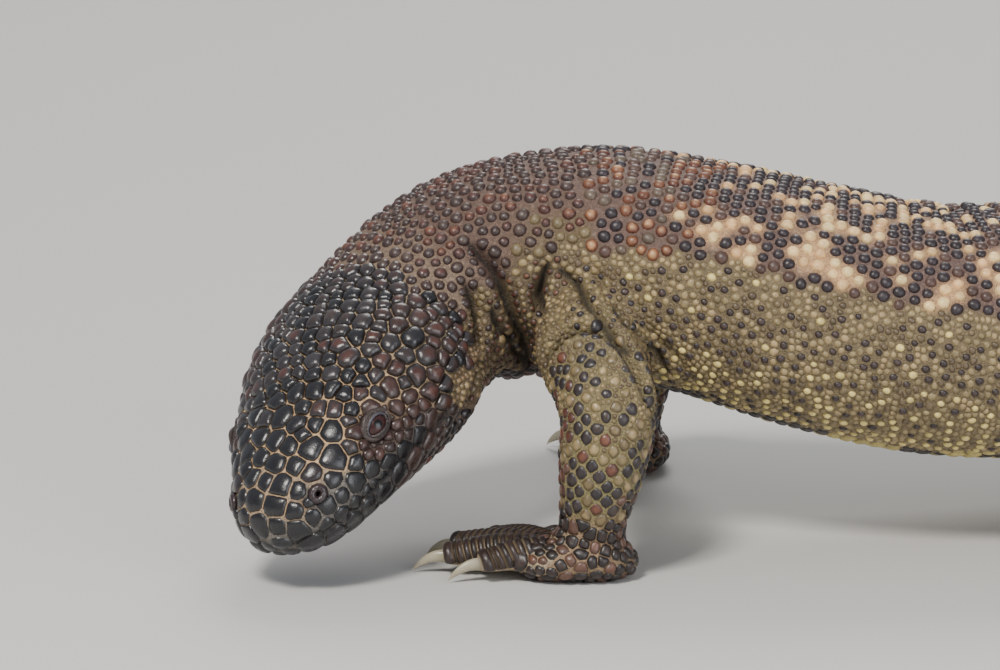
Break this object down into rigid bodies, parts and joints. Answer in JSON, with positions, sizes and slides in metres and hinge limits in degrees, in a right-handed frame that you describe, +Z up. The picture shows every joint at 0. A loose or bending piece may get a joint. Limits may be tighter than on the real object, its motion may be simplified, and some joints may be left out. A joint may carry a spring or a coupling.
{
  "type": "rio fuerte beaded lizard",
  "caption": "Life-size still model of a heavy, bead-scaled lizard on four short legs, head lowered and turned to its left, fat tail resting behind it on the floor.",
  "frame": {"origin": "middle of the bounding box's footprint, on the floor plane that the feet and tail rest on", "axes": "+Z up, the animal faces -X with its left side towards -Y, so its length runs along X"},
  "size_m": [0.5538, 0.1955, 0.0828],
  "materials": {
    "head_plates": "glossy blue-black domed plates with thin tan grooves between them",
    "beaded_skin": "satin purple-black beads on the back with clusters of cream and peach beads, olive granular flanks with yellow flecks",
    "leg_skin": "satin olive skin with rows of dark oval beads",
    "eye": "wet dark brown with a black pupil",
    "claw": "pale translucent horn"
  },
  "bodies": {
    "root": {"head": "head_plates", "eye_left": "eye", "eye_right": "eye", "neck": "beaded_skin", "torso_front": "beaded_skin", "torso_mid": "beaded_skin", "torso_rear": "beaded_skin", "tail_base": "beaded_skin", "tail_mid": "beaded_skin", "tail_tip": "beaded_skin", "foreleg_left_upper": "leg_skin", "foreleg_left_lower": "leg_skin", "foreleg_left_foot": "leg_skin", "foreleg_left_claw_1": "claw", "foreleg_left_claw_2": "claw", "foreleg_left_claw_3": "claw", "foreleg_left_claw_4": "claw", "foreleg_left_claw_5": "claw", "foreleg_right_upper": "leg_skin", "foreleg_right_lower": "leg_skin", "foreleg_right_foot": "leg_skin", "foreleg_right_claw_1": "claw", "foreleg_right_claw_2": "claw", "foreleg_right_claw_3": "claw", "foreleg_right_claw_4": "claw", "foreleg_right_claw_5": "claw", "hindleg_left_upper": "leg_skin", "hindleg_left_lower": "leg_skin", "hindleg_left_foot": "leg_skin", "hindleg_left_claw_1": "claw", "hindleg_left_claw_2": "claw", "hindleg_left_claw_3": "claw", "hindleg_left_claw_4": "claw", "hindleg_left_claw_5": "claw", "hindleg_right_upper": "leg_skin", "hindleg_right_lower": "leg_skin", "hindleg_right_foot": "leg_skin", "hindleg_right_claw_1": "claw", "hindleg_right_claw_2": "claw", "hindleg_right_claw_3": "claw", "hindleg_right_claw_4": "claw", "hindleg_right_claw_5": "claw"}
  },
  "joints": []
}
